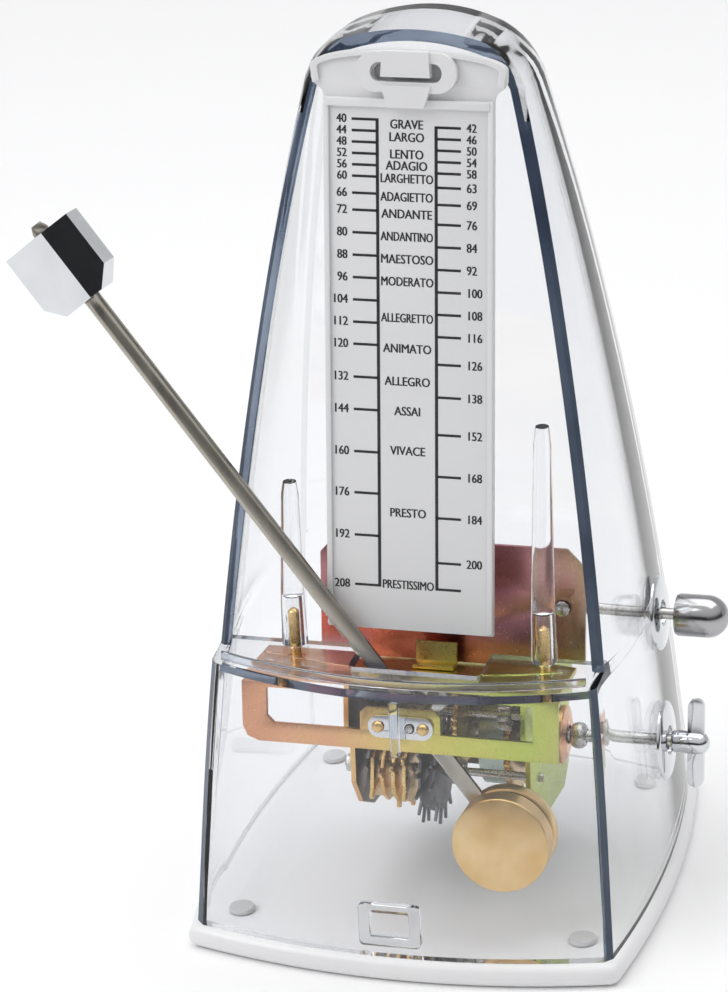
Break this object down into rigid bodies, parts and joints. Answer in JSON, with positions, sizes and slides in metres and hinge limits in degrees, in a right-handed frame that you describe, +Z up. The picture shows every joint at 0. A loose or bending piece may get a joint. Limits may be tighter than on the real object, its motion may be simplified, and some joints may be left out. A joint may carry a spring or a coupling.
{
  "type": "mechanical metronome",
  "caption": "Wind-up pyramid metronome in a clear case, with swinging pendulum, sliding tempo weight, winding key, bell selector and visible gear train.",
  "frame": {"origin": "centre of the base's flat underside", "axes": "+Z up, the open front faces -Y, the winding key is on the +X side"},
  "size_m": [0.1632, 0.1158, 0.217],
  "materials": {
    "clear_plastic": "clear, polished",
    "white_plastic": "satin white",
    "grey_rubber": "matt",
    "yellow_chromate": "yellow passivated steel, iridescent",
    "rose_chromate": "passivated steel, iridescent rose",
    "chrome_plate": "mirror chrome",
    "spring_steel": "bright steel",
    "blued_steel": "dark grey steel",
    "turned_brass": "satin turned",
    "copper_bush": "copper coloured",
    "zinc_drum": "zinc plated, green cast"
  },
  "bodies": {
    "case": {"case_shell": "clear_plastic", "base_plate": "white_plastic", "foot_1": "grey_rubber", "foot_2": "grey_rubber", "foot_3": "grey_rubber", "foot_4": "grey_rubber", "front_catch": "clear_plastic", "scale_plate": "white_plastic", "rod_latch": "white_plastic", "chassis": "yellow_chromate", "bell_plate": "rose_chromate", "plate_rivet": "spring_steel", "deck_bracket": "yellow_chromate", "selector_detent": "spring_steel", "case_screw_1": "turned_brass", "case_screw_2": "turned_brass", "bearing_plate": "chrome_plate", "bearing_rivet_1": "turned_brass", "bearing_rivet_2": "turned_brass", "click_pin": "spring_steel", "winding_bushing": "copper_bush", "key_escutcheon": "chrome_plate", "selector_escutcheon": "chrome_plate", "selector_bearing_left": "yellow_chromate", "selector_bearing_right": "yellow_chromate", "bell_dome": "turned_brass", "bell_post": "spring_steel"},
    "pendulum": {"pendulum_arbor": "spring_steel", "pallet_cam": "spring_steel", "pendulum_rod": "spring_steel", "bob_front": "turned_brass", "bob_rear": "turned_brass", "bob_rivet": "spring_steel"},
    "tempo_weight": {"tempo_weight": "chrome_plate", "weight_spring": "spring_steel"},
    "winding": {"winding_arbor": "spring_steel", "ratchet_wheel": "spring_steel", "winding_key": "chrome_plate", "shaft_collar": "spring_steel"},
    "barrel": {"barrel_drum": "zinc_drum", "great_wheel": "turned_brass", "mainspring": "blued_steel"},
    "third": {"third_arbor": "spring_steel", "third_pinion": "spring_steel", "third_wheel": "turned_brass"},
    "escape": {"escape_arbor": "spring_steel", "escape_pinion": "spring_steel", "escape_wheel_left": "blued_steel", "escape_wheel_right": "blued_steel", "bell_cam_1": "turned_brass", "bell_cam_2": "turned_brass", "bell_cam_3": "turned_brass", "bell_cam_4": "turned_brass", "arbor_nut": "spring_steel"},
    "click": {"click": "spring_steel"},
    "selector": {"selector_rod": "spring_steel", "selector_knob": "chrome_plate"},
    "hammer": {"hammer_lever": "spring_steel", "hammer_head": "turned_brass"}
  },
  "joints": [
    {"name": "pendulum_swing", "type": "hinge", "parent": "case", "child": "pendulum", "pos_m": [0.0025, -0.0347, 0.0586], "axis": [0, 0.9903, -0.1392], "range_deg": [-3, 80]},
    {"name": "tempo_weight_slide", "type": "slide", "parent": "pendulum", "child": "tempo_weight", "axis": [-0.6225, 0.1089, 0.775], "range_m": [-0.1, 0.0015]},
    {"name": "key_wind", "type": "hinge", "parent": "case", "child": "winding", "pos_m": [0, 0.00396, 0.03762], "axis": [1, 0, 0], "range_deg": [0, 2520]},
    {"name": "escape_spin", "type": "hinge", "parent": "case", "child": "escape", "pos_m": [0, -0.019, 0.03741], "axis": [1, 0, 0], "continuous": true},
    {"name": "third_spin", "type": "hinge", "parent": "case", "child": "third", "pos_m": [0, -0.01016, 0.04878], "axis": [1, 0, 0], "continuous": true},
    {"name": "barrel_spin", "type": "hinge", "parent": "case", "child": "barrel", "pos_m": [0, 0.00396, 0.03762], "axis": [1, 0, 0], "continuous": true},
    {"name": "click_lift", "type": "hinge", "parent": "case", "child": "click", "pos_m": [0, -0.00377, 0.04729], "axis": [1, 0, 0], "range_deg": [0, 12], "stiffness_Nm_per_rad": 0.002},
    {"name": "selector_slide", "type": "slide", "parent": "case", "child": "selector", "axis": [1, 0, 0], "range_m": [-0.0027, 0.0081]},
    {"name": "hammer_swing", "type": "hinge", "parent": "selector", "child": "hammer", "pos_m": [-0.0089, 0.01196, 0.068], "axis": [1, 0, 0], "range_deg": [0, 5], "stiffness_Nm_per_rad": 0.003, "springref_deg": -2.86}
  ],
  "couplings": [
    {"joint": "third_spin", "follows": "escape_spin", "ratio": -0.2},
    {"joint": "barrel_spin", "follows": "escape_spin", "ratio": 0.04}
  ]
}
